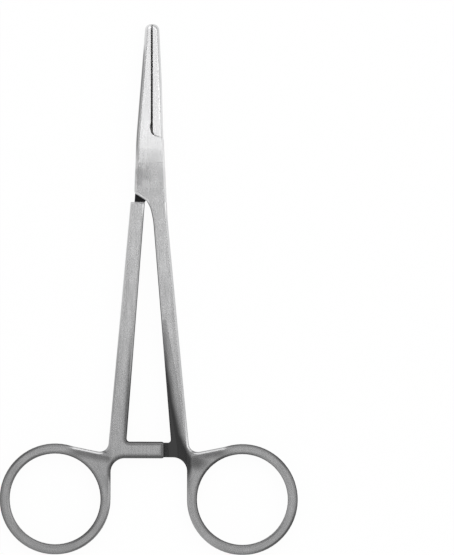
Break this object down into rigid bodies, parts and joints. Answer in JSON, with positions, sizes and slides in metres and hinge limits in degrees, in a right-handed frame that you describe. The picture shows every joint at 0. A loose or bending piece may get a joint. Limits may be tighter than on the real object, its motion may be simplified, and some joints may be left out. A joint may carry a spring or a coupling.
{
  "type": "hemostat forceps",
  "caption": "Locking surgical clamp of satin steel: slim serrated jaws, a box-lock pivot, straight shanks, ratchet arms and round finger rings.",
  "frame": {"origin": "on the pivot axis, at the back face of the box, on which the forceps lies", "axes": "+Y along the closed jaws towards their tips, +X to the right seen from the front, +Z out of the front face along the pivot axis"},
  "size_m": [0.0786, 0.14, 0.0048],
  "materials": {
    "satin_steel": "satin, finely ground",
    "pin_steel": "ground flush with the box"
  },
  "bodies": {
    "box_side": {"box_half": "satin_steel", "pivot_pin": "pin_steel"},
    "inner_side": {"inner_half": "satin_steel"}
  },
  "joints": [
    {"name": "box_lock_pivot", "type": "hinge", "parent": "box_side", "child": "inner_side", "pos_m": [0, 0, 0.0024], "axis": [0, 0, -1], "range_deg": [0, 60]}
  ]
}
